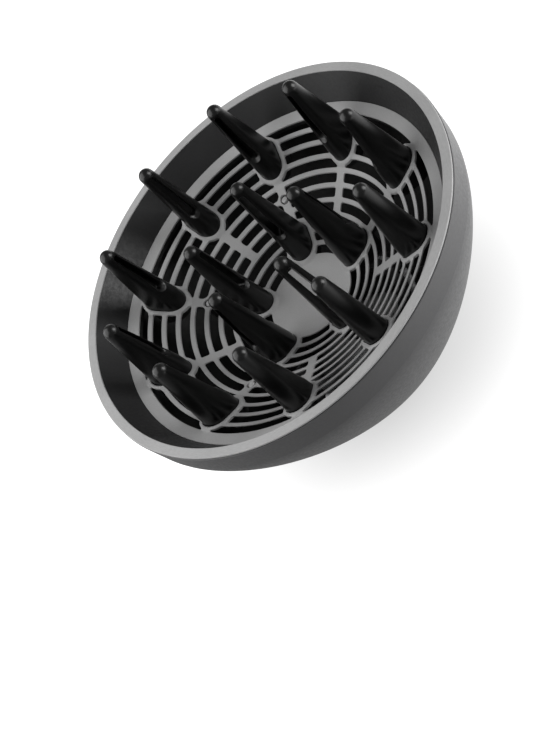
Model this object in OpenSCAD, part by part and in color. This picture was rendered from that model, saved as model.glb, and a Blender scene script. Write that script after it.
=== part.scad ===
// Hair dryer diffuser: a wide bowl with a slotted dish, air fingers and a turning socket.
// The bowl's axis is +Z, the mouth opens upwards and the origin is the centre of the
// socket's end face. The inner fingers stand on every second spoke of the dish.

/* [Bowl] */
// Outer radius of the bowl at the rim
bowl_r = 80; // [79:0.5:82]
// Height of the flat rim above the socket's end face
rim_z = 75; // [74:0.5:77]
// Width of the flat rim
rim_w = 4; // [3.8:0.1:4.2]
// Height of the side band between the rim and the crease
band_h = 11.5; // [10:0.5:12.5]
// How far the side band draws in from the rim to the crease
band_draft = 1; // [0.6:0.1:1.4]
// Height over which the dome would close to a point below the crease
dome_h = 81; // [79:0.5:83]
// Fullness of the dome: 1 is a cone and 2 is an ellipse
dome_power = 1.3; // [1.25:0.05:1.4]
// Wall thickness of the shell
shell_t = 2.4; // [2.2:0.1:2.6]

/* [Dish] */
// Radius of the slotted dish
dish_r = 69.8; // [69.4:0.1:70]
// Depth of the dish's edge below the rim
dish_drop = 11; // [10.5:0.1:11.5]
// Depth of the dish's centre below its edge
dish_depth = 23.75; // [23:0.05:24.5]
// Exponent of the dish's bell-shaped section
dish_power = 1.52; // [1.45:0.01:1.6]
// Thickness of the satin plate that forms the dish
dish_t = 0.6; // [0.6:0.1:0.9]
// Centre radius of the outermost ring of slots
ring_r = 63.43; // [63.33:0.01:63.53]
// Pitch between rings of slots
ring_pitch = 4.905; // [4.895:0.005:4.915]
// Width of a slot
slot_w = 3.3; // [3.2:0.05:3.35]
// Width of a spoke
spoke_w = 3.45; // [3.3:0.05:3.6]
// Width of the land between two slots of the outermost ring
land_w = 4.3; // [4.1:0.1:4.5]

/* [Fingers] */
// Radius of the circle that the outer fingers stand on
outer_foot_r = 56.2; // [56.1:0.05:56.3]
// Radius of the circle that the inner fingers stand on
inner_foot_r = 24.1; // [24:0.05:24.2]
// Height of the outer fingers' tips above the rim
outer_rise = 20.9; // [18:0.2:22]
// Height of the inner fingers' tips above the rim
inner_rise = 11.1; // [10:0.2:13]
// Radial length of a foot
foot_l = 14.5; // [14.3:0.1:14.7]
// Width of a foot
foot_w = 10.1; // [9.9:0.1:10.3]
// Diameter of a rounded tip
tip_d = 6; // [5.6:0.1:6.4]
// Width of the air groove in a finger
groove_w = 3.4; // [3:0.1:3.8]

/* [Socket] */
// Diameter of the dryer nozzle that the socket fits
nozzle_d = 46; // [45.6:0.2:46.4]
// Outer radius of the socket's end flange
flange_r = 30; // [29.8:0.1:30.2]
// Radius of the sleeve that turns in the shell's neck
sleeve_r = 28; // [27.9:0.1:28.1]

/* [Hidden] */
OUTER_NAMES = [for (i = [1:10]) str("outer_finger_", i)];
INNER_NAMES = [for (i = [1:5]) str("inner_finger_", i)];

$fn = 96;
eps = 0.01;

// Rings of slots, and the number of outer rings that all ten spokes cross
ring_count = 10;
crossed_rings = 7;
// Angle of the first spoke and the steps between spokes
first_angle = 270;
outer_step = 36;
inner_step = 72;
outer_angles = [for (i = [0:9]) first_angle + outer_step * i];
inner_angles = [for (i = [0:4]) first_angle + inner_step * i];

// Bowl
crease_z = rim_z - band_h;
crease_r = bowl_r - band_draft;
rim_in = bowl_r - rim_w;
rim_t = 0.7;
parting = 0.2;
lip_z = rim_z - rim_t - parting;
lip_r = bowl_r - 1.6;
rim_skirt = 4.4;
rim_skirt_t = 1;
neck_z = 5;
neck_top = 15;
neck_floor = 9;
neck_wall_r = sleeve_r + 3.5;
dome_steps = 16;

// Dish and the black carrier under it
dish_z = rim_z - dish_drop;
dish_steps = 14;
carrier_t = 1.6;
collar_w = 1.4;
collar_h = 0.9;
fit_gap = 0.1;
ledge_w = 2.4;
ledge_t = 1.3;
ledge_gap = 0.22;
hub_r = ring_r - (ring_count - 1) * ring_pitch - slot_w / 2;
pin_ring_r = ring_r - 4.5 * ring_pitch;
pin_r = 1.35;
pin_hole_r = 1.75;
pin_pad_r = 2.6;
pin_depth = 8;
post_extra = 1;
layer_gap = 0.05;
carrier_ring_r = 66;
carrier_ring_w = 2;

// Fingers
tip_r = tip_d / 2;
outer_tip_r = outer_foot_r + 0.2;
inner_tip_r = inner_foot_r;
outer_groove_rise = 8.6;
inner_groove_rise = 12.6;
groove_high = 0.90;
groove_depth = 3;
peg_r = 2.4;
peg_l = 3;
cup_wall = 1;
cup_floor = 1.6;

// Socket
nozzle_r = nozzle_d / 2;
grip_t = 2;
grip_z = [1.5, 19];
collar_bore_r = nozzle_r + grip_t;
run_gap = 0.05;
flange_gap = 0.3;
sleeve_top = 20;
ring_groove_r = sleeve_r - 1.4;
snap_z = [neck_top + 0.3, neck_top + 1.8];
snap_r = sleeve_r + 2.6;
relief_count = 8;
relief_w = 2;
relief_d = 0.6;
flute_count = 36;

// Height of the dish's upper face at radius r
function dish_at(r) = dish_z - dish_depth * pow(1 - pow(min(r / dish_r, 1), 2), dish_power);

// Radius of the dome's outer face at height z
function dome_at(z) = crease_r * pow(1 - pow((crease_z - z) / dome_h, dome_power), 1 / dome_power);

// Heights along the dome from z0 up to z1
function dome_heights(z0, z1) = [for (i = [0:dome_steps]) z0 + (z1 - z0) * i / dome_steps];

// Radii across the dish, from the axis to its edge
function dish_radii() = [for (i = [0:dish_steps]) dish_r * i / dish_steps];

function reversed(list) = [for (i = [len(list) - 1:-1:0]) list[i]];

// A flat rounded bar, long in X, grown by extra on every side
module stadium(extra = 0) {
    half = (foot_l - foot_w) / 2;
    radius = foot_w / 2 + extra;
    translate([-half, -radius]) square([2 * half, 2 * radius]);
    for (side = [-1, 1]) translate([side * half, 0]) circle(r = radius);
}

module outer_feet_2d(extra) {
    for (a = outer_angles) rotate(a) translate([outer_foot_r, 0]) stadium(extra);
}

module inner_feet_2d(extra) {
    for (a = inner_angles) rotate(a) translate([inner_foot_r, 0]) stadium(extra);
}

module feet_2d(extra) {
    outer_feet_2d(extra);
    inner_feet_2d(extra);
}

// A layer that follows the dish, from upper to lower below its face
module dish_layer(upper, lower) {
    radii = dish_radii();
    rotate_extrude()
        polygon(concat(
            [for (r = radii) [r, dish_at(r) - upper]],
            [for (r = reversed(radii)) [r, dish_at(r) - lower]]));
}

module ring_2d(radius, width) {
    difference() {
        circle(r = radius + width / 2);
        circle(r = radius - width / 2);
    }
}

// The solid spokes, lands, pads and feet that interrupt the rings of slots
module uncut_2d() {
    spoke_end = ring_r - (crossed_rings - 0.5) * ring_pitch;
    for (a = outer_angles) rotate(a) {
        translate([spoke_end, -spoke_w / 2]) square([outer_foot_r - spoke_end, spoke_w]);
        translate([outer_foot_r, -land_w / 2]) square([dish_r - outer_foot_r, land_w]);
    }
    for (a = inner_angles) rotate(a) {
        translate([hub_r - 1, -spoke_w / 2]) square([spoke_end - hub_r + 2, spoke_w]);
        translate([pin_ring_r, 0]) circle(r = pin_pad_r);
    }
    feet_2d(collar_w);
}

module slots_2d() {
    difference() {
        for (k = [0:ring_count - 1]) ring_2d(ring_r - k * ring_pitch, slot_w);
        uncut_2d();
    }
}

module grille_plate() {
    color([0.62, 0.62, 0.62])
    difference() {
        union() {
            dish_layer(0, dish_t);
            intersection() {
                linear_extrude(rim_z) feet_2d(collar_w);
                dish_layer(-collar_h, dish_t / 2);
            }
        }
        linear_extrude(rim_z) slots_2d();
        linear_extrude(rim_z) feet_2d(fit_gap);
        pins_at() cylinder(r = pin_hole_r, h = rim_z);
    }
}

module pins_at() {
    for (a = inner_angles) rotate(a) translate([pin_ring_r, 0, 0]) children();
}

// The black spider's outline: a hub, arms under the spokes and an outer ring
module carrier_2d() {
    arm_w = spoke_w - 0.4;
    circle(r = hub_r - 1);
    ring_2d(carrier_ring_r, carrier_ring_w);
    for (a = inner_angles) rotate(a) {
        translate([0, -arm_w / 2]) square([carrier_ring_r, arm_w]);
        translate([pin_ring_r, 0]) circle(r = pin_pad_r);
    }
    for (a = outer_angles) rotate(a)
        translate([outer_foot_r, -arm_w / 2]) square([carrier_ring_r - outer_foot_r, arm_w]);
}

// Everything from the carrier's upper face down
module below_dish() {
    dish_layer(dish_t + layer_gap, rim_z / 2);
}

// Lower end of the pins
function pin_low() = dish_at(pin_ring_r) - dish_t - carrier_t - pin_depth;

// Posts under the carrier that take the pins
module posts() {
    low = pin_low() - post_extra;
    intersection() {
        pins_at() translate([0, 0, low]) cylinder(r = pin_pad_r, h = rim_z - low);
        below_dish();
    }
}

// Height of a finger's flat foot, just under the dish at the foot's inner end
function foot_z(foot_r) = dish_at(foot_r - foot_l / 2) - dish_t - 0.4;

module cups(angles, foot_r) {
    low = foot_z(foot_r) - cup_floor;
    intersection() {
        for (a = angles) rotate(a) translate([foot_r, 0, low])
            linear_extrude(rim_z - low) stadium(cup_wall);
        below_dish();
    }
}

module finger_carrier() {
    color([0.05, 0.05, 0.055])
    difference() {
        union() {
            intersection() {
                linear_extrude(rim_z) carrier_2d();
                dish_layer(dish_t + layer_gap, dish_t + carrier_t);
            }
            cups(outer_angles, outer_foot_r);
            cups(inner_angles, inner_foot_r);
            posts();
        }
        translate([0, 0, foot_z(outer_foot_r)]) linear_extrude(rim_z) outer_feet_2d(fit_gap);
        translate([0, 0, foot_z(inner_foot_r)]) linear_extrude(rim_z) inner_feet_2d(fit_gap);
        for (a = outer_angles) rotate(a) translate([outer_foot_r, 0, 0])
            cylinder(r = peg_r + fit_gap, h = rim_z);
        for (a = inner_angles) rotate(a) translate([inner_foot_r, 0, 0])
            cylinder(r = peg_r + fit_gap, h = rim_z);
        pins_at() cylinder(r = pin_r + fit_gap / 2, h = rim_z);
    }
}

module grille_pins() {
    top = dish_at(pin_ring_r) + 0.15;
    color([0.6, 0.6, 0.6])
    pins_at() translate([0, 0, pin_low()]) cylinder(r = pin_r, h = top - pin_low());
}

// A finger with its foot at foot_r and its tip at tip_pos. groove_rise is the height of the
// groove's lower end above the shoulder, and through opens the groove out at the back.
module finger(foot_r, tip_pos, tip_z, groove_rise, through) {
    base_z = foot_z(foot_r);
    shoulder_z = dish_at(foot_r) + 2;
    low_z = shoulder_z + groove_rise;
    high_z = shoulder_z + groove_high * (tip_z - shoulder_z);
    groove_x = through ? 2 * foot_l : groove_depth;
    face_x = foot_r - foot_l / 2;
    difference() {
        union() {
            hull() {
                translate([foot_r, 0, base_z])
                    linear_extrude(shoulder_z - base_z) stadium($fn = 32);
                translate([tip_pos, 0, tip_z - tip_r]) sphere(r = tip_r, $fn = 20);
            }
            translate([foot_r, 0, base_z - peg_l]) cylinder(r = peg_r, h = peg_l + 1, $fn = 32);
        }
        translate([face_x - eps, 0, 0]) rotate([90, 0, 90])
            linear_extrude(groove_x + (through ? 0 : 2)) {
                translate([-groove_w / 2, low_z]) square([groove_w, high_z - low_z]);
                translate([0, low_z]) circle(r = groove_w / 2, $fn = 32);
            }
    }
}

module outer_finger(i) {
    color([0.06, 0.06, 0.065])
    rotate(outer_angles[i - 1])
        finger(outer_foot_r, outer_tip_r, rim_z + outer_rise, outer_groove_rise, false);
}

module inner_finger(i) {
    color([0.06, 0.06, 0.065])
    rotate(inner_angles[i - 1])
        finger(inner_foot_r, inner_tip_r, rim_z + inner_rise, inner_groove_rise, true);
}

module outer_shell() {
    outer = [for (z = dome_heights(neck_z, crease_z)) [dome_at(z), z]];
    inner = [for (z = dome_heights(neck_floor, crease_z)) [dome_at(z) - shell_t, z]];
    color([0.42, 0.42, 0.43])
    rotate_extrude()
        polygon(concat(
            [[sleeve_r + run_gap, neck_z]],
            outer,
            [[bowl_r, lip_z - 0.3], [bowl_r - 0.3, lip_z], [lip_r, lip_z]],
            [[lip_r, lip_z - rim_skirt]],
            reversed(inner),
            [[neck_wall_r, neck_floor], [neck_wall_r, neck_top]],
            [[sleeve_r + run_gap, neck_top]]));
}

module rim_ring() {
    edge_r = bowl_r - parting;
    skirt_r = lip_r - rim_skirt_t;
    color([0.66, 0.66, 0.66])
    rotate_extrude()
        polygon([
            [rim_in, rim_z], [edge_r - 0.3, rim_z], [edge_r, rim_z - 0.3],
            [edge_r, rim_z - rim_t], [lip_r, rim_z - rim_t], [lip_r, lip_z - rim_skirt + 1],
            [skirt_r, lip_z - rim_skirt + 1], [skirt_r, rim_z - 1], [rim_in, rim_z - 0.4]]);
}

module inner_wall() {
    top_r = lip_r - rim_skirt_t - 0.1;
    seat_r = dish_r + fit_gap;
    seat_z = dish_at(dish_r - ledge_w) - dish_t - ledge_gap;
    color([0.13, 0.13, 0.135])
    rotate_extrude()
        polygon([
            [rim_in, rim_z - 0.5], [seat_r, dish_z], [seat_r, seat_z],
            [dish_r - ledge_w, seat_z], [dish_r - ledge_w, seat_z - ledge_t],
            [seat_r + 1.5, seat_z - ledge_t], [top_r, rim_z - 2.6], [top_r, rim_z - 1.1]]);
}

module socket_collar() {
    flange_top = neck_z - flange_gap;
    color([0.2, 0.2, 0.21])
    difference() {
        rotate_extrude()
            polygon([
                [collar_bore_r, 0], [flange_r - 0.6, 0], [flange_r, 0.6],
                [flange_r, flange_top], [sleeve_r, flange_top], [sleeve_r, snap_z[0]],
                [ring_groove_r, snap_z[0]], [ring_groove_r, snap_z[1]],
                [sleeve_r, snap_z[1]], [sleeve_r, sleeve_top - 0.5],
                [sleeve_r - 0.5, sleeve_top], [nozzle_r + 0.6, sleeve_top],
                [nozzle_r + 0.6, grip_z[1]], [collar_bore_r, grip_z[1]]]);
        for (i = [0:flute_count - 1]) rotate(i * 360 / flute_count)
            translate([flange_r + 0.6, 0, 1]) cylinder(r = 1.2, h = flange_top - 2, $fn = 24);
    }
}

module grip_ring() {
    color([0.08, 0.08, 0.085])
    difference() {
        translate([0, 0, grip_z[0]]) cylinder(r = collar_bore_r, h = grip_z[1] - grip_z[0]);
        cylinder(r = nozzle_r, h = sleeve_top);
        for (i = [0:relief_count - 1]) rotate(i * 360 / relief_count)
            translate([0, -relief_w / 2, 0]) cube([nozzle_r + relief_d, relief_w, sleeve_top]);
    }
}

module retaining_ring() {
    gap_w = 8;
    color([0.7, 0.7, 0.72])
    difference() {
        translate([0, 0, snap_z[0]]) cylinder(r = snap_r, h = snap_z[1] - snap_z[0]);
        cylinder(r = ring_groove_r + layer_gap, h = sleeve_top);
        translate([0, -gap_w / 2, 0]) cube([snap_r + 1, gap_w, sleeve_top]);
    }
}

socket_collar();
grip_ring();
retaining_ring();
outer_shell();
rim_ring();
inner_wall();
grille_plate();
finger_carrier();
grille_pins();
for (i = [1:10]) outer_finger(i);
for (i = [1:5]) inner_finger(i);
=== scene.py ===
"""Hair dryer diffuser: a satin bowl with a slotted dish, black air fingers and a turning socket.

Lengths are millimetres until a mesh is made. The bowl's axis is +Z and the mouth opens upwards.
"""

import math

import bmesh
import bpy
import numpy as np
from mathutils import Matrix, Vector
from mathutils.geometry import delaunay_2d_cdt


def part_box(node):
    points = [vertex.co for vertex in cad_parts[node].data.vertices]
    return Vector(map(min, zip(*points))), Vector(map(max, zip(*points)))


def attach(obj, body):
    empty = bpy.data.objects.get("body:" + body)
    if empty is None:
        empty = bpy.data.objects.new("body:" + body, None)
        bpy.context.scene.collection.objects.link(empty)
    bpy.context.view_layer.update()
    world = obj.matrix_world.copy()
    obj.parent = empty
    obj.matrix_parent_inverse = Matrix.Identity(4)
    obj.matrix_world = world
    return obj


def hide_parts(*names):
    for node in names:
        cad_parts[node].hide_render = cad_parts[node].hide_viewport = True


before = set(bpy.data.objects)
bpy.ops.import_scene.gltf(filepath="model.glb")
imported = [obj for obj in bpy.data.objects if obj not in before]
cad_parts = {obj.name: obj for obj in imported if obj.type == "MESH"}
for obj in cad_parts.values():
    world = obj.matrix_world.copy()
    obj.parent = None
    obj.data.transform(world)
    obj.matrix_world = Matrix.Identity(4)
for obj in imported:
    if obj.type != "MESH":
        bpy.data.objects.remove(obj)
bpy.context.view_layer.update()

MM = 0.001


def node_box(node):
    """Lowest and highest corners of a CAD node, in millimetres."""
    low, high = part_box(node)
    return np.array(low) / MM, np.array(high) / MM


# ------------------------------------------------------------------------------ sizes
RIM_Z = node_box("rim_ring")[1][2]
BOWL_R = 80.0
RIM_IN = BOWL_R - 4.0
RIM_EDGE = BOWL_R - 0.2
CREASE_Z = RIM_Z - 11.5
CREASE_R = BOWL_R - 1.0
DOME_H = 81.0
DOME_POWER = 1.3
SHELL_T = 2.4
NECK_Z = node_box("outer_shell")[0][2]
NECK_R = 28.05
LIP_Z = RIM_Z - 1.0
LIP_R = BOWL_R - 1.6

DISH_R = 69.8
DISH_Z = RIM_Z - 11.0
DISH_DEPTH = 23.75
DISH_POWER = 1.52
DISH_T = 0.6
RING_R = 63.43
RING_PITCH = 4.905
RING_COUNT = 10
CROSSED_RINGS = 7
SLOT_W = 3.3
SPOKE_W = 3.45
LAND_W = 4.3
COLLAR_W = 1.4
COLLAR_H = 0.9
PIN_RING_R = RING_R - 4.5 * RING_PITCH
PIN_PAD_R = 2.6
PIN_HOLE_R = 1.75
PIN_R = 1.35

OUTER_FOOT_R = 56.2
INNER_FOOT_R = 24.1
FOOT_L = 14.5
FOOT_W = 10.1
TIP_R = 3.0
OUTER_LEAN = -0.2
INNER_LEAN = 0.0
OUTER_GROOVE_RISE = 8.6
INNER_GROOVE_RISE = 12.6

FIRST_ANGLE = 270
OUTER_STEP = 36
INNER_STEP = 72


def dish(r):
    """Height of the dish's upper face at radius r."""
    inside = np.clip(1 - (np.asarray(r, float) / DISH_R) ** 2, 0, None)
    return DISH_Z - DISH_DEPTH * inside ** DISH_POWER


def dome(z):
    """Radius of the dome's outer face at height z."""
    fall = np.clip((CREASE_Z - np.asarray(z, float)) / DOME_H, 0, None)
    return CREASE_R * (1 - fall ** DOME_POWER) ** (1 / DOME_POWER)


# ------------------------------------------------------------------------------ meshes
WELD_M = 1e-7
SHARP_ANGLE = 38
FILLET_STEPS = 4


def make_piece(name, points, faces):
    """A smooth-shaded object from millimetre points, with its normals turned outwards."""
    mesh = bpy.data.meshes.new(name)
    mesh.from_pydata((np.asarray(points, float) * MM).tolist(), [], faces)
    bm = bmesh.new()
    bm.from_mesh(mesh)
    bmesh.ops.remove_doubles(bm, verts=bm.verts, dist=WELD_M)
    bmesh.ops.recalc_face_normals(bm, faces=bm.faces)
    for face in bm.faces:
        face.smooth = True
    bm.to_mesh(mesh)
    bm.free()
    mesh.set_sharp_from_angle(angle=math.radians(SHARP_ANGLE))
    piece = bpy.data.objects.new(name, mesh)
    bpy.context.scene.collection.objects.link(piece)
    weights = piece.modifiers.new("even_shading", "WEIGHTED_NORMAL")
    weights.keep_sharp = True
    return piece


def fillet(corners):
    """Round each (r, z, radius) corner of a closed outline with an arc."""
    outline = []
    for i, (r, z, radius) in enumerate(corners):
        here = np.array([r, z])
        if radius == 0:
            outline.append(here)
            continue
        back = np.array(corners[i - 1][:2]) - here
        ahead = np.array(corners[(i + 1) % len(corners)][:2]) - here
        back_len, ahead_len = np.linalg.norm(back), np.linalg.norm(ahead)
        back, ahead = back / back_len, ahead / ahead_len
        half = math.acos(float(np.clip(back @ ahead, -1, 1))) / 2
        reach = min(radius / math.tan(half), 0.45 * back_len, 0.45 * ahead_len)
        radius = reach * math.tan(half)
        middle = here + (back + ahead) / np.linalg.norm(back + ahead) * radius / math.sin(half)
        start = here + back * reach - middle
        end = here + ahead * reach - middle
        turn = math.atan2(start[0] * end[1] - start[1] * end[0], start @ end)
        for k in range(FILLET_STEPS + 1):
            a = turn * k / FILLET_STEPS
            c, s = math.cos(a), math.sin(a)
            outline.append(middle + [c * start[0] - s * start[1], s * start[0] + c * start[1]])
    return np.array(outline)


def lathe(name, outline, steps=240, flute=None):
    """Revolve a closed (r, z) outline about +Z. flute(angle, r, z) may change each radius."""
    outline = np.asarray(outline)
    angles = np.arange(steps) * 2 * math.pi / steps
    r, a = np.meshgrid(outline[:, 0], angles)
    z = np.meshgrid(outline[:, 1], angles)[0]
    if flute:
        r = flute(a, r, z)
    points = np.stack([r * np.cos(a), r * np.sin(a), z], -1).reshape(-1, 3)
    n = len(outline)
    faces = [
        (i * n + j, (i + 1) % steps * n + j, (i + 1) % steps * n + (j + 1) % n, i * n + (j + 1) % n)
        for i in range(steps) for j in range(n)
    ]
    return make_piece(name, points, faces)


def strip(first, second):
    """Quads between two closed loops of as many points."""
    n = len(first)
    return [(first[i], first[(i + 1) % n], second[(i + 1) % n], second[i]) for i in range(n)]


def closed_edges(start, count):
    """Index pairs that join count points, from start on, into a ring."""
    return [(start + i, start + (i + 1) % count) for i in range(count)]


def triangulate(points, edges, keep):
    """Triangles over flat points that respect the edges, where keep(centres) is true."""
    result = delaunay_2d_cdt([Vector(p) for p in points], edges, [], 0, 1e-6)
    source = np.array([ids[0] for ids in result[3]])
    triangles = source[np.array(result[2])]
    centres = np.asarray(points)[triangles].mean(axis=1)
    return triangles[keep(centres)].tolist()


# A rounded edge, from the flat face to the wall: share of its size outwards, and downwards
ROUND_EDGE = [(1 - math.sin(math.radians(a)), 1 - math.cos(math.radians(a))) for a in (0, 30, 60, 90)]

# A bevelled edge with eased corners, in the same terms
BEVEL = [(0.9, 0.04), (0.1, 0.8), (0, 1)]


# ------------------------------------------------------------------------------ dish
EDGE_ROUND = 0.15
CORNER_ROUND = 0.8
FOOT_GAP = 0.1
CAST_STEPS = 70
REACH_STEPS = 200
CAP_RAYS = 23
SLOT_SPACING = 1.5
COLLAR_FLAT = 0.5
COLLAR_SLOPE = 1.7


def fold(x, y, step):
    """Places along and across the nearest of the spokes that stand step degrees apart."""
    angle = np.degrees(np.arctan2(y, x)) - FIRST_ANGLE
    off = np.radians((angle + step / 2) % step - step / 2)
    r = np.hypot(x, y)
    return r * np.cos(off), r * np.sin(off)


def foot_distance(x, y):
    """Distance outside the nearest foot's outline, negative inside it."""
    half = (FOOT_L - FOOT_W) / 2
    found = []
    for foot_r, step in ((OUTER_FOOT_R, OUTER_STEP), (INNER_FOOT_R, INNER_STEP)):
        along, across = fold(x, y, step)
        beyond = np.clip(np.abs(along - foot_r) - half, 0, None)
        found.append(np.hypot(beyond, across) - FOOT_W / 2)
    return np.minimum(*found)


def pin_distance(x, y):
    """Distance from the nearest pin's centre."""
    along, across = fold(x, y, INNER_STEP)
    return np.hypot(along - PIN_RING_R, across)


def solid_distance(x, y, ring):
    """Distance outside the spokes, collars and pads that interrupt a ring of slots."""
    step = OUTER_STEP if ring < CROSSED_RINGS else INNER_STEP
    across = fold(x, y, step)[1]
    spoke = np.abs(across) - (LAND_W if ring == 0 else SPOKE_W) / 2
    collar = foot_distance(x, y) - COLLAR_W
    return np.minimum(np.minimum(spoke, collar), pin_distance(x, y) - PIN_PAD_R)


def ring_radius(ring):
    return RING_R - ring * RING_PITCH


def slot_distance(x, y, ring):
    """Distance outside one ring's slots, with their corners rounded."""
    a = np.abs(np.hypot(x, y) - ring_radius(ring)) - SLOT_W / 2 + CORNER_ROUND
    b = -solid_distance(x, y, ring) + CORNER_ROUND
    corner = np.hypot(np.clip(a, 0, None), np.clip(b, 0, None))
    return np.minimum(np.maximum(a, b), 0) + corner - CORNER_ROUND


def all_slots_distance(x, y):
    return np.min([slot_distance(x, y, ring) for ring in range(RING_COUNT)], axis=0)


def cast(origin, direction, ring, level):
    """Walk from inside a slot to the line that lies level outside its edge."""
    travelled = np.zeros(len(origin))
    for _ in range(CAST_STEPS):
        at = origin + direction * travelled[:, None]
        travelled += level - slot_distance(at[:, 0], at[:, 1], ring)
    return origin + direction * travelled[:, None]


def slot_loops(ring, sector):
    """One slot's closed outlines, one for each level of its rounded edge."""
    step = OUTER_STEP if ring < CROSSED_RINGS else INNER_STEP
    middle = math.radians(FIRST_ANGLE + step * (sector + 0.5))
    radius = ring_radius(ring)
    reach = 0.0
    for _ in range(REACH_STEPS):
        a = middle + reach
        edge = slot_distance(radius * math.cos(a), radius * math.sin(a), ring)
        reach -= float(edge) / radius
    reach -= SLOT_W / 2 / radius
    count = max(3, math.ceil(2 * reach * radius / SLOT_SPACING))
    angles = middle + np.linspace(-reach, reach, count + 1)
    out = np.stack([np.cos(angles), np.sin(angles)], -1)
    origins, directions = [], []
    for face in (1, -1):
        ordered = out[::-1] if face == 1 else out
        origins += [ordered * radius]
        directions += [ordered * face]
        end = ordered[-1]
        turns = np.linspace(0, math.pi, CAP_RAYS + 2)[1:-1]
        side = np.array([end[1], -end[0]])
        origins += [np.repeat(end[None] * radius, CAP_RAYS, axis=0)]
        directions += [np.cos(turns)[:, None] * end * face + np.sin(turns)[:, None] * side * face]
    origins, directions = np.concatenate(origins), np.concatenate(directions)
    return [cast(origins, directions, ring, EDGE_ROUND * out_share) for out_share, _ in ROUND_EDGE]


def foot_loops(foot_r, angle, levels, count=72):
    """Outlines round a foot at several distances outside it."""
    half = (FOOT_L - FOOT_W) / 2
    turns = (np.arange(count) + 0.5) * 2 * math.pi / count
    shift = half * np.sign(np.cos(turns))
    c, s = math.cos(angle), math.sin(angle)
    loops = []
    for level in levels:
        radius = FOOT_W / 2 + level
        x = foot_r + shift + radius * np.cos(turns)
        y = radius * np.sin(turns)
        loops.append(np.stack([c * x - s * y, s * x + c * y], -1))
    return loops


def circle_loops(centre, radii, count):
    turns = np.arange(count) * 2 * math.pi / count
    return [np.asarray(centre) + np.stack([np.cos(turns), np.sin(turns)], -1) * r for r in radii]


def spokes(step):
    return [math.radians(FIRST_ANGLE + step * i) for i in range(360 // step)]


def dish_top(x, y):
    """The dish's upper face, with the collar that rises round each foot."""
    near = np.clip((foot_distance(x, y) - COLLAR_FLAT) / COLLAR_SLOPE, 0, 1)
    return dish(np.hypot(x, y)) + COLLAR_H * (1 - near ** 2 * (3 - 2 * near))


def build_grille():
    holes = []
    for ring in range(RING_COUNT):
        sectors = 360 // (OUTER_STEP if ring < CROSSED_RINGS else INNER_STEP)
        holes += [slot_loops(ring, sector) for sector in range(sectors)]
    foot_levels = [FOOT_GAP + EDGE_ROUND * share for share, _ in ROUND_EDGE]
    feet = [(OUTER_FOOT_R, a) for a in spokes(OUTER_STEP)]
    feet += [(INNER_FOOT_R, a) for a in spokes(INNER_STEP)]
    holes += [foot_loops(foot_r, a, foot_levels) for foot_r, a in feet]
    pin_levels = [PIN_HOLE_R + EDGE_ROUND * share for share, _ in ROUND_EDGE]
    holes += [
        circle_loops((PIN_RING_R * math.cos(a), PIN_RING_R * math.sin(a)), pin_levels, 32)
        for a in spokes(INNER_STEP)
    ]
    edge_levels = [DISH_R - EDGE_ROUND * share for share, _ in ROUND_EDGE]
    holes.append(circle_loops((0, 0), edge_levels, 240))

    free = [np.zeros((1, 2))]
    for r in np.arange(2, DISH_R - 0.8, 1.6):
        free += circle_loops((0, 0), [r], max(6, round(2 * math.pi * r / 1.7)))
    for foot_r, a in feet:
        free += foot_loops(foot_r, a, [0.75, 1.1, 1.5, 1.9, 2.3], 44)
    free = np.concatenate(free)
    x, y = free.T
    room = np.minimum(all_slots_distance(x, y) - EDGE_ROUND, foot_distance(x, y) - foot_levels[0])
    room = np.minimum(room, pin_distance(x, y) - pin_levels[0])
    near_foot = foot_distance(x, y) < 2.4
    free = free[room > np.where(near_foot, 0.22, 0.6)]

    flat = np.concatenate([loops[0] for loops in holes] + [free])
    edges, starts, at = [], [], 0
    for loops in holes:
        starts.append(at)
        edges += closed_edges(at, len(loops[0]))
        at += len(loops[0])

    def keep(centres):
        cx, cy = centres.T
        inside = np.hypot(cx, cy) < edge_levels[0]
        clear = np.minimum(all_slots_distance(cx, cy) - EDGE_ROUND, foot_distance(cx, cy) - foot_levels[0])
        return inside & (np.minimum(clear, pin_distance(cx, cy) - pin_levels[0]) > 0)

    triangles = triangulate(flat, edges, keep)
    x, y = flat.T
    top = np.column_stack([x, y, dish_top(x, y)])
    bottom = np.column_stack([x, y, dish(np.hypot(x, y)) - DISH_T])
    points, faces, n = [top, bottom], list(triangles), len(flat)
    faces += [(a + n, c + n, b + n) for a, b, c in triangles]
    at = 2 * n
    for start, loops in zip(starts, holes):
        count = len(loops[0])
        last = list(range(start, start + count))
        for loop, (_, drop) in zip(loops[1:], ROUND_EDGE[1:]):
            x, y = loop.T
            points.append(np.column_stack([x, y, dish_top(x, y) - EDGE_ROUND * drop]))
            faces += strip(last, range(at, at + count))
            last = list(range(at, at + count))
            at += count
        points.append(np.column_stack([x, y, dish(np.hypot(x, y)) - DISH_T]))
        faces += strip(last, range(at, at + count))
        faces += strip(range(at, at + count), range(start + n, start + n + count))
        at += count
    return make_piece("grille", np.concatenate(points), faces)


# ------------------------------------------------------------------------------ fingers
GROOVE_HIGH = 0.90
GROOVE_LOW_R = 1.5
GROOVE_HIGH_R = 1.1
GROOVE_DEPTH = 3.0
SIDE_ROUND = 0.3
LIP_ROUND = 1.3
LIP_FADE = 9
LIP_SIDES = 0.8
LIP_POWER = 1.5
BASE_RISE = 3.0
SHOULDER_RISE = 2.0
FLOOR_SHARE = -0.4
ARC_POINTS = 19
SIDE_POINTS = 12
THROUGH_STEPS = 4
GRID_MARGIN = 0.35
NO_GROOVE = 99.0


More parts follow.
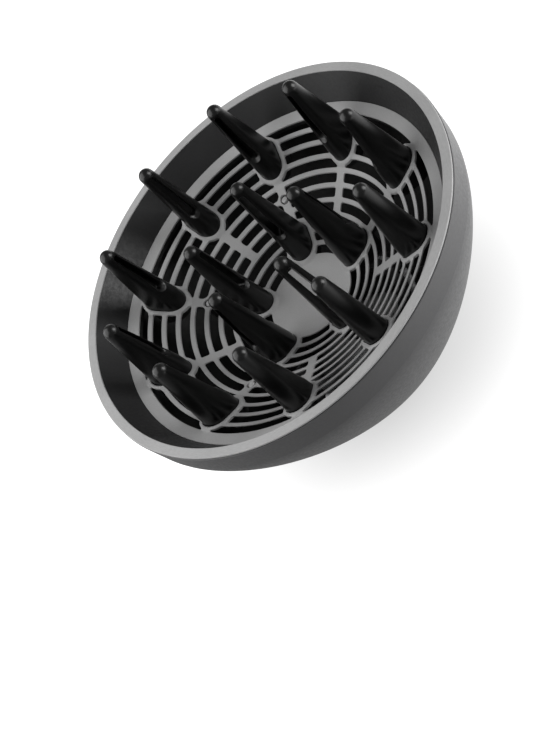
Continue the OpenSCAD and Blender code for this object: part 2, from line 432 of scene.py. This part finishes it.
def build_finger(node, foot_r, angle, lean, groove_rise, through):
    """An air finger with a groove in its face, lofted from its oval foot to its round tip."""
    base_z, tip_z = node_box(node)[0][2] + BASE_RISE, node_box(node)[1][2]
    shoulder_z = float(dish(foot_r)) + SHOULDER_RISE
    neck_z = tip_z - TIP_R
    height = tip_z - shoulder_z

    def section(z):
        """Share of the way from the shoulder to the tip's centre."""
        return np.clip((z - shoulder_z) / (neck_z - shoulder_z), 0, 1)

    def radius(z):
        return FOOT_W / 2 + (TIP_R - FOOT_W / 2) * section(z)

    def place(turn, z, cap):
        """A point on the skin. turn is 0 on the face towards the bowl's axis."""
        t = section(z)
        half = (FOOT_L - FOOT_W) / 2 * (1 - t)
        r = radius(z)
        x = foot_r - lean * t - half * np.clip(np.cos(turn) / 0.25, -1, 1) - r * np.cos(turn) * np.cos(cap)
        return np.stack([x, r * np.sin(turn) * np.cos(cap), z + r * np.sin(cap)], -1)

    # The skin unrolled: along the girth, then up, with the tip's dome above the neck
    columns, rows, cap_rows = 44, 34, 7
    girth = 4.2
    turns = np.linspace(-math.pi / 2, 3 * math.pi / 2, columns + 1)
    ups = np.concatenate([
        np.linspace(base_z, neck_z, rows),
        neck_z + TIP_R * np.radians(np.linspace(0, 80, cap_rows + 1)[1:]),
    ])

    def skin(flat):
        turn, up = flat[:, 0] / girth, flat[:, 1]
        cap = np.clip(up - neck_z, 0, None) / TIP_R
        return place(turn, np.minimum(up, neck_z), cap)

    low_z = shoulder_z + groove_rise
    high_z = shoulder_z + GROOVE_HIGH * height - GROOVE_HIGH_R
    arc = np.linspace(0, math.pi, ARC_POINTS)
    side_z = np.linspace(low_z, high_z, SIDE_POINTS + 2)[1:-1]
    side_r = np.interp(side_z, [low_z, high_z], [GROOVE_LOW_R, GROOVE_HIGH_R])
    one, zero = np.ones(SIDE_POINTS), np.zeros(SIDE_POINTS)
    end = np.ones(ARC_POINTS)
    out_y = np.concatenate([np.cos(arc), -one, -np.cos(arc), one])
    out_z = np.concatenate([np.sin(arc), zero, -np.sin(arc), zero])
    mid_z = np.concatenate([end * high_z, side_z[::-1], end * low_z, side_z])
    size = np.concatenate([end * GROOVE_HIGH_R, side_r[::-1], end * GROOVE_LOW_R, side_r])

    def edge_width(lower, z):
        """Width of the groove's rounded edge, which swells into a lip round its lower end."""
        width = SIDE_ROUND + (LIP_ROUND - SIDE_ROUND) * lower ** LIP_POWER
        return width + LIP_SIDES * np.clip(1 - (z - low_z) / LIP_FADE, 0, 1) * (1 - lower)

    edge = edge_width(np.clip(-out_z, 0, 1), mid_z)

    def groove_loop(share, depth, back):
        """The groove's outline share of its edge outwards, and depth inwards from the skin."""
        y = out_y * (size + edge * share)
        z = mid_z + out_z * (size + edge * share)
        turn = np.arcsin(y / radius(z))
        flat = np.column_stack([(math.pi - turn if back else turn) * girth, z])
        points = skin(flat)
        points[:, 0] += -depth if back else depth
        return flat, points

    faces_with_groove = (False, True) if through else (False,)
    outlines = [groove_loop(1, 0, back)[0] for back in faces_with_groove]
    grid_turn, grid_up = [g.ravel() for g in np.meshgrid(turns, ups)]
    grid = np.column_stack([grid_turn * girth, grid_up])
    border = (grid_turn == turns[0]) | (grid_turn == turns[-1])
    border |= (grid_up == ups[0]) | (grid_up == ups[-1])

    def outside(flat, margin):
        """True where flat points lie clear of every groove's outline."""
        clear = np.ones(len(flat), bool)
        for back in faces_with_groove:
            turn, up = flat[:, 0] / girth, flat[:, 1]
            turn = math.pi - turn if back else turn
            y = np.where(np.abs(turn) < math.pi / 2, np.sin(turn) * radius(up), NO_GROOVE)
            z = np.clip(up, low_z, high_z)
            lower = np.clip((low_z - up) / np.maximum(np.hypot(y, low_z - up), 1e-6), 0, 1)
            wide = edge_width(lower, z) + np.interp(z, [low_z, high_z], [GROOVE_LOW_R, GROOVE_HIGH_R])
            clear &= np.hypot(y, up - z) > wide + margin
        return clear

    grid_used = border | outside(grid, GRID_MARGIN)
    number = np.full(len(grid), -1)
    number[grid_used] = np.arange(grid_used.sum())
    flat = [grid[grid_used]]
    table = number.reshape(len(ups), columns + 1)
    ring = list(table[0]) + list(table[1:, -1]) + list(table[-1, -2::-1]) + list(table[-2:0:-1, 0])
    edges = [(int(ring[i]), int(ring[(i + 1) % len(ring)])) for i in range(len(ring))]
    at = int(grid_used.sum())
    starts = []
    for outline in outlines:
        starts.append(at)
        edges += closed_edges(at, len(outline))
        flat.append(outline)
        at += len(outline)
    flat = np.concatenate(flat)
    faces = triangulate(flat, edges, lambda centres: outside(centres, 0))
    points = [skin(flat)]

    count = len(out_y)
    wall = []
    for start, back in zip(starts, faces_with_groove):
        last = list(range(start, start + count))
        for share, drop in BEVEL:
            points.append(groove_loop(share, drop * edge, back)[1])
            faces += strip(last, range(at, at + count))
            last = list(range(at, at + count))
            at += count
        wall.append(last)
    if through:
        front = groove_loop(0, edge, False)[1]
        back = groove_loop(0, edge, True)[1]
        last = wall[0]
        for k in range(1, THROUGH_STEPS):
            points.append(front + (back - front) * k / THROUGH_STEPS)
            faces += strip(last, range(at, at + count))
            last = list(range(at, at + count))
            at += count
        faces += strip(last, wall[1])
    else:
        floor = groove_loop(FLOOR_SHARE, GROOVE_DEPTH, False)[1]
        points.append(floor)
        faces += strip(wall[0], range(at, at + count))
        ordered = list(range(at, at + count))
        at += count
        # Right and left halves run in opposite ways, so quads cross from side to side
        half = count // 2
        shifted = ordered[ARC_POINTS // 2:] + ordered[:ARC_POINTS // 2]
        right, left = shifted[half:][::-1], shifted[:half]
        faces += [(right[i], right[i + 1], left[i + 1], left[i]) for i in range(half - 1)]
    tip = np.array([[foot_r - lean, 0, tip_z]])
    foot = np.array([[foot_r, 0, base_z]])
    points += [tip, foot]
    top_row, low_row = table[-1], table[0]
    faces += [(int(top_row[i]), int(top_row[i + 1]), at) for i in range(columns)]
    faces += [(int(low_row[i]), int(low_row[i + 1]), at + 1) for i in range(columns)]
    points = np.concatenate(points)
    c, s = math.cos(angle), math.sin(angle)
    x, y = points[:, 0].copy(), points[:, 1].copy()
    points[:, 0], points[:, 1] = c * x - s * y, s * x + c * y
    return make_piece("air_" + node, points, faces)


# ------------------------------------------------------------------------------ turned parts
SEAT_DROP = 4.4
SHELL_FLOOR_Z = 9
BOSS_R = 31.5
BOSS_Z = 15
LEDGE_R = DISH_R - 2.4
LEDGE_T = 1.3
LEDGE_GAP = 0.22


def build_shell():
    """The dome, the band above its crease and the neck's boss, as one revolved wall."""
    down = [(float(dome(z)), z, 0) for z in np.linspace(NECK_Z, CREASE_Z, 40)]
    down[0] = (*down[0][:2], 0.5)
    down[-1] = (*down[-1][:2], 1.2)
    inside = [(float(dome(z)) - SHELL_T, z, 0) for z in np.linspace(CREASE_Z, SHELL_FLOOR_Z, 24)]
    outline = fillet(
        [(NECK_R, NECK_Z, 0.4)] + down
        + [(BOWL_R, LIP_Z - 0.1, 0.35), (LIP_R, LIP_Z - 0.1, 0.2), (LIP_R, LIP_Z - SEAT_DROP, 0)]
        + inside
        + [(BOSS_R, SHELL_FLOOR_Z, 0.5), (BOSS_R, BOSS_Z, 0.5), (NECK_R, BOSS_Z, 0.3)]
    )
    return lathe("bowl_shell", outline)


def build_rim():
    outline = fillet([
        (RIM_IN, RIM_Z, 0.25), (RIM_EDGE, RIM_Z, 0.35), (RIM_EDGE, RIM_Z - 0.7, 0.15),
        (LIP_R, RIM_Z - 0.7, 0), (LIP_R, RIM_Z - SEAT_DROP, 0.2), (LIP_R - 1, RIM_Z - SEAT_DROP, 0.2),
        (LIP_R - 1, RIM_Z - 1, 0), (RIM_IN, RIM_Z - 0.45, 0),
    ])
    return lathe("rim_trim", outline)


def build_wall():
    seat_z = float(dish(LEDGE_R)) - DISH_T - LEDGE_GAP
    outline = fillet([
        (RIM_IN, RIM_Z - 0.5, 0.15), (DISH_R + 0.1, DISH_Z, 0.25), (DISH_R + 0.1, seat_z, 0),
        (LEDGE_R, seat_z, 0.2), (LEDGE_R, seat_z - LEDGE_T, 0.2), (DISH_R + 1.6, seat_z - LEDGE_T, 0.3),
        (LIP_R - 1.1, RIM_Z - 2.6, 0), (LIP_R - 1.1, RIM_Z - 1.1, 0),
    ])
    return lathe("bowl_wall", outline)


def build_collar():
    """The socket: a fluted flange below a sleeve that turns in the shell's neck."""
    flange_r = 30.0
    flange_top = NECK_Z - 0.3
    sleeve_r = 28.0
    groove_r = sleeve_r - 1.4
    snap_low, snap_high, sleeve_top = 15.3, 16.8, 20.0
    bore_r, grip_r, grip_top = 25.0, 23.6, 19
    flutes, flute_start, flute_depth = 36, 0.45, 0.55

    def flute(angle, r, z):
        wave = np.clip(np.cos(angle * flutes) - flute_start, 0, None) / (1 - flute_start)
        face = (r > flange_r - 0.9) & (z > 0.3) & (z < flange_top - 0.3)
        return r - np.where(face, flute_depth * np.sqrt(wave), 0)

    flange_side = [(flange_r, z, 0) for z in np.linspace(0.9, flange_top - 0.9, 5)]
    outline = fillet(
        [(bore_r, 0, 0.2), (flange_r, 0, 0.45)] + flange_side
        + [(flange_r, flange_top, 0.45), (sleeve_r, flange_top, 0.15), (sleeve_r, snap_low, 0.1)]
        + [(groove_r, snap_low, 0), (groove_r, snap_high, 0), (sleeve_r, snap_high, 0.1)]
        + [(sleeve_r, sleeve_top, 0.4), (grip_r, sleeve_top, 0.2)]
        + [(grip_r, grip_top, 0), (bore_r, grip_top, 0)]
    )
    return lathe("turning_collar", outline, 432, flute)


def build_pins():
    """Five press pins with crowned heads."""
    top = float(dish(PIN_RING_R)) + 0.1
    low = node_box("grille_pins")[0][2]
    outline = fillet([(0, low, 0), (PIN_R, low, 0.3), (PIN_R, top, 0.3), (0, top + 0.05, 0)])[:, :2]
    points, faces = [], []
    steps, n = 28, len(outline)
    for a in spokes(INNER_STEP):
        at = sum(len(p) for p in points)
        turn = np.arange(steps) * 2 * math.pi / steps
        r, t = np.meshgrid(outline[:, 0], turn)
        z = np.meshgrid(outline[:, 1], turn)[0]
        x = r * np.cos(t) + PIN_RING_R * math.cos(a)
        y = r * np.sin(t) + PIN_RING_R * math.sin(a)
        points.append(np.stack([x, y, z], -1).reshape(-1, 3))
        faces += [
            (at + i * n + j, at + (i + 1) % steps * n + j,
             at + (i + 1) % steps * n + j + 1, at + i * n + j + 1)
            for i in range(steps) for j in range(n - 1)
        ]
    return make_piece("press_pins", np.concatenate(points), faces)


# ------------------------------------------------------------------------------ materials
def moulded(name, colour, roughness, grain=0.3, depth=0.02, mottle=0.05, wear=0.25, rough_spread=0.06,
            turned=False):
    """Moulded plastic: fine spark-eroded grain, faint mottling, and edges rubbed smoother."""
    material = bpy.data.materials.new(name)
    material.use_nodes = True
    nodes, links = material.node_tree.nodes, material.node_tree.links
    shader = nodes["Principled BSDF"]
    coords = nodes.new("ShaderNodeTexCoord").outputs["Object"]

    def noise(scale, detail, vector=coords):
        node = nodes.new("ShaderNodeTexNoise")
        node.inputs["Scale"].default_value = scale
        node.inputs["Detail"].default_value = detail
        links.new(vector, node.inputs["Vector"])
        return node.outputs["Fac"]

    def remap(value, low, high, from_low=0.35, from_high=0.65):
        node = nodes.new("ShaderNodeMapRange")
        node.inputs["From Min"].default_value = from_low
        node.inputs["From Max"].default_value = from_high
        node.inputs["To Min"].default_value = low
        node.inputs["To Max"].default_value = high
        links.new(value, node.inputs["Value"])
        return node.outputs["Result"]

    def math_node(operation, first, second):
        node = nodes.new("ShaderNodeMath")
        node.operation = operation
        for socket, value in zip(node.inputs, (first, second)):
            if isinstance(value, (int, float)):
                socket.default_value = value
            else:
                links.new(value, socket)
        return node.outputs["Value"]

    def tint(factor, first, second):
        node = nodes.new("ShaderNodeMix")
        node.data_type = "RGBA"
        links.new(factor, node.inputs["Factor"])
        for socket, value in ((node.inputs[6], first), (node.inputs[7], second)):
            if isinstance(value, tuple):
                socket.default_value = (*value, 1)
            else:
                links.new(value, socket)
        return node.outputs[2]

    per_metre = 1000 / grain
    vector = coords
    if turned:  # grain drawn out round the bowl's axis, as a turned or brushed face has it
        split = nodes.new("ShaderNodeSeparateXYZ")
        links.new(coords, split.inputs["Vector"])
        flat = nodes.new("ShaderNodeCombineXYZ")
        square = math_node("ADD", math_node("POWER", split.outputs["X"], 2),
                           math_node("POWER", split.outputs["Y"], 2))
        links.new(math_node("SQRT", square, 0), flat.inputs["X"])
        around = math_node("ARCTAN2", split.outputs["Y"], split.outputs["X"])
        links.new(math_node("MULTIPLY", around, 0.012), flat.inputs["Y"])
        links.new(split.outputs["Z"], flat.inputs["Z"])
        vector = flat.outputs["Vector"]
    fine = noise(per_metre, 3, vector)
    cloud = noise(55, 4)

    dark = tuple(c * (1 - mottle) for c in colour)
    light = tuple(min(c * (1 + mottle), 1) for c in colour)
    mixed = math_node("ADD", math_node("MULTIPLY", fine, 0.6), math_node("MULTIPLY", cloud, 0.4))
    body = tint(remap(mixed, 0, 1, 0.4, 0.6), dark, light)
    geometry = nodes.new("ShaderNodeNewGeometry")
    edge = remap(geometry.outputs["Pointiness"], 0, 1, 0.52, 0.6)
    worn = math_node("MULTIPLY", edge, remap(noise(400, 3), 0, wear, 0.4, 0.6))
    lifted = tuple(min(c * 1.5 + 0.03, 1) for c in colour)
    links.new(tint(worn, body, lifted), shader.inputs["Base Color"])
    rough = remap(noise(per_metre / 3, 2), roughness - rough_spread, roughness + rough_spread)
    links.new(math_node("SUBTRACT", rough, math_node("MULTIPLY", worn, 0.1)), shader.inputs["Roughness"])

    bump = nodes.new("ShaderNodeBump")
    bump.inputs["Strength"].default_value = 0.6
    bump.inputs["Distance"].default_value = depth * MM
    links.new(fine, bump.inputs["Height"])
    links.new(bump.outputs["Normal"], shader.inputs["Normal"])
    return material


def spring_steel():
    material = moulded("spring_steel", (0.55, 0.55, 0.56), 0.32, grain=0.5, depth=0.01, turned=True)
    material.node_tree.nodes["Principled BSDF"].inputs["Metallic"].default_value = 1.0
    return material


MATERIALS = {
    "rim": moulded("rim_satin", (0.38, 0.38, 0.38), 0.42, grain=0.28, depth=0.015, mottle=0.07, turned=True),
    # The shell's grey is set far below the rim's: painted shade, standing in for the shade on the band below
    # the rim
    "shell": moulded("shell_satin_shade_darkened", (0.09, 0.09, 0.092), 0.4, grain=0.35, depth=0.012, mottle=0.05),
    "wall": moulded("wall_matt", (0.014, 0.014, 0.0145), 0.5, grain=0.4, depth=0.02, mottle=0.1),
    "grille": moulded("grille_satin", (0.38, 0.38, 0.38), 0.42, grain=0.28, depth=0.015, mottle=0.07),
    "finger": moulded("finger_gloss", (0.001, 0.001, 0.001), 0.3, grain=0.3, depth=0.002, mottle=0.03,
                      wear=0.1, rough_spread=0.01),
    "carrier": moulded("carrier_black", (0.006, 0.006, 0.006), 0.6, grain=0.5, depth=0.02),
    "socket": moulded("socket_black", (0.02, 0.02, 0.021), 0.45, grain=0.4, depth=0.02),
    "grip": moulded("grip_rubber", (0.012, 0.012, 0.012), 0.75, grain=0.35, depth=0.03),
    "clip": spring_steel(),
}


def finish_piece(piece, body, slot, *nodes):
    piece.data.materials.append(MATERIALS[slot])
    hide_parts(*nodes)
    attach(piece, body)


def dress_node(node, slot):
    """Give a carried-over CAD node its finish."""
    materials = bpy.data.objects[node].data.materials
    materials.clear()
    materials.append(MATERIALS[slot])


def line_inside(piece):
    """Leave the shell's inside in bare black plastic: only its outside is painted."""
    piece.data.materials.append(MATERIALS["carrier"])
    for face in piece.data.polygons:
        x, y, z = face.center / MM
        if z < LIP_Z - 1 and math.hypot(x, y) < float(dome(min(z, CREASE_Z))) - SHELL_T / 2:
            face.material_index = 1


shell = build_shell()
finish_piece(shell, "bowl", "shell", "outer_shell")
line_inside(shell)
finish_piece(build_rim(), "bowl", "rim", "rim_ring")
finish_piece(build_wall(), "bowl", "wall", "inner_wall")
finish_piece(build_grille(), "bowl", "grille", "grille_plate")
finish_piece(build_pins(), "bowl", "grille", "grille_pins")
finish_piece(build_collar(), "socket", "socket", "socket_collar")
for i, spoke in enumerate(spokes(OUTER_STEP)):
    node = f"outer_finger_{i + 1}"
    finger = build_finger(node, OUTER_FOOT_R, spoke, OUTER_LEAN, OUTER_GROOVE_RISE, False)
    finish_piece(finger, "bowl", "finger", node)
for i, spoke in enumerate(spokes(INNER_STEP)):
    node = f"inner_finger_{i + 1}"
    finger = build_finger(node, INNER_FOOT_R, spoke, INNER_LEAN, INNER_GROOVE_RISE, True)
    finish_piece(finger, "bowl", "finger", node)
dress_node("finger_carrier", "carrier")
dress_node("grip_ring", "grip")
dress_node("retaining_ring", "clip")


# ------------------------------------------------------------------------------ studio
ROOM_LIGHT = 0.25
LEFT_POWER = 3.6
RIGHT_POWER = 3.8
# The shade values draw a painted soft shadow on the floor round the socket, seen by the camera only; the
# socket values draw a painted dark patch under its bore
SHADE_LOW = 0.6
TABLE_LEFT = 0.04
TABLE_RIGHT = 1.4
SHADE_HIGH = 1.05
SHADE_FROM, SHADE_TO = 0.03, 0.095
TABLE_FROM, TABLE_TO = -0.12, 0.25
SOCKET_SHADE_FROM, SOCKET_SHADE_TO = 0.0275, 0.0285
FLOOR_HALF = 4.0


def area_light(name, position, target, size, power):
    light = bpy.data.lights.new(name, "AREA")
    light.shape = "RECTANGLE"
    light.size, light.size_y = size
    light.energy = power
    lamp = bpy.data.objects.new(name, light)
    lamp.location = position
    lamp.rotation_euler = (Vector(target) - Vector(position)).to_track_quat("-Z", "Y").to_euler()
    bpy.context.scene.collection.objects.link(lamp)


def light_table():
    """White paper for the lens, with a painted soft shadow towards the socket and a painted dark patch under
    its bore. As a light it is brighter to the right, and dark in the socket.
    """
    paper = bpy.data.materials.new("light_table")
    paper.use_nodes = True
    nodes, links = paper.node_tree.nodes, paper.node_tree.links
    shader = nodes["Principled BSDF"]
    shader.inputs["Base Color"].default_value = (0.3, 0.3, 0.3, 1)
    shader.inputs["Roughness"].default_value = 0.7
    shader.inputs["Specular IOR Level"].default_value = 0.1
    shader.inputs["Emission Color"].default_value = (1, 1, 1, 1)
    place = nodes.new("ShaderNodeTexCoord").outputs["Object"]

    def ramp(value, from_low, from_high, low, high):
        node = nodes.new("ShaderNodeMapRange")
        node.interpolation_type = "SMOOTHSTEP"
        node.inputs["From Min"].default_value = from_low
        node.inputs["From Max"].default_value = from_high
        node.inputs["To Min"].default_value = low
        node.inputs["To Max"].default_value = high
        links.new(value, node.inputs["Value"])
        return node.outputs["Result"]

    def product(first, second):
        node = nodes.new("ShaderNodeMath")
        node.operation = "MULTIPLY"
        links.new(first, node.inputs[0])
        links.new(second, node.inputs[1])
        return node.outputs["Value"]

    length = nodes.new("ShaderNodeVectorMath")
    length.operation = "LENGTH"
    links.new(place, length.inputs[0])
    away = length.outputs["Value"]
    split = nodes.new("ShaderNodeSeparateXYZ")
    links.new(place, split.inputs["Vector"])
    # Dark under the socket's bore: a painted dark patch where the bowl's inside is in shade, and no floor
    # light from there
    outside = ramp(away, SOCKET_SHADE_FROM, SOCKET_SHADE_TO, 0, 1)
    # What the camera sees: white paper with a painted soft shadow that darkens it towards the socket
    seen = product(outside, ramp(away, SHADE_FROM, SHADE_TO, SHADE_LOW, SHADE_HIGH))
    lighting = product(outside, ramp(split.outputs["X"], TABLE_FROM, TABLE_TO, TABLE_LEFT, TABLE_RIGHT))
    choose = nodes.new("ShaderNodeMix")
    links.new(nodes.new("ShaderNodeLightPath").outputs["Is Camera Ray"], choose.inputs["Factor"])
    links.new(lighting, choose.inputs["A"])
    links.new(seen, choose.inputs["B"])
    links.new(choose.outputs["Result"], shader.inputs["Emission Strength"])
    return paper


def build_studio():
    world = bpy.data.worlds.new("studio")
    world.use_nodes = True
    nodes, links = world.node_tree.nodes, world.node_tree.links
    background = nodes["Background"]
    background.inputs["Color"].default_value = (1, 1, 1, 1)
    seen = nodes.new("ShaderNodeLightPath").outputs["Is Camera Ray"]
    strength = nodes.new("ShaderNodeMapRange")
    strength.inputs["To Min"].default_value = ROOM_LIGHT
    strength.inputs["To Max"].default_value = 1.0
    links.new(seen, strength.inputs["Value"])
    links.new(strength.outputs["Result"], background.inputs["Strength"])
    bpy.context.scene.world = world
    bpy.context.scene.view_settings.view_transform = "Standard"
    area_light("left_softbox", (-0.36, 0.2, 0.36), (0, 0, 0.07), (0.75, 0.75), LEFT_POWER)
    area_light("right_softbox", (0.62, -0.35, 0.35), (0, 0, 0.06), (0.45, 0.5), RIGHT_POWER)

    mesh = bpy.data.meshes.new("floor")
    corners = [(x * FLOOR_HALF, y * FLOOR_HALF, 0) for x, y in ((-1, -1), (1, -1), (1, 1), (-1, 1))]
    mesh.from_pydata(corners, [], [(0, 1, 2, 3)])
    floor = bpy.data.objects.new("floor", mesh)
    bpy.context.scene.collection.objects.link(floor)
    mesh.materials.append(light_table())


def build_camera():
    """The view down into the mouth from the near side, turned on its own axis."""
    elevation = math.radians(42.87)
    roll = math.radians(-53.2)
    swing = Matrix.Rotation(math.radians(-0.9), 4, "Z")
    distance = 0.5506
    aim = Vector((-0.0273, -0.0444, RIM_Z * MM))
    data = bpy.data.cameras.new("camera")
    data.lens = 81.3
    data.sensor_width = 36
    camera = bpy.data.objects.new("camera", data)
    back = Vector((0, -math.cos(elevation), math.sin(elevation)))
    turn = Matrix.Rotation(math.pi / 2 - elevation, 4, "X") @ Matrix.Rotation(roll, 4, "Z")
    camera.matrix_world = swing @ Matrix.Translation(aim + back * distance) @ turn
    bpy.context.scene.collection.objects.link(camera)
    bpy.context.scene.camera = camera


build_studio()
build_camera()
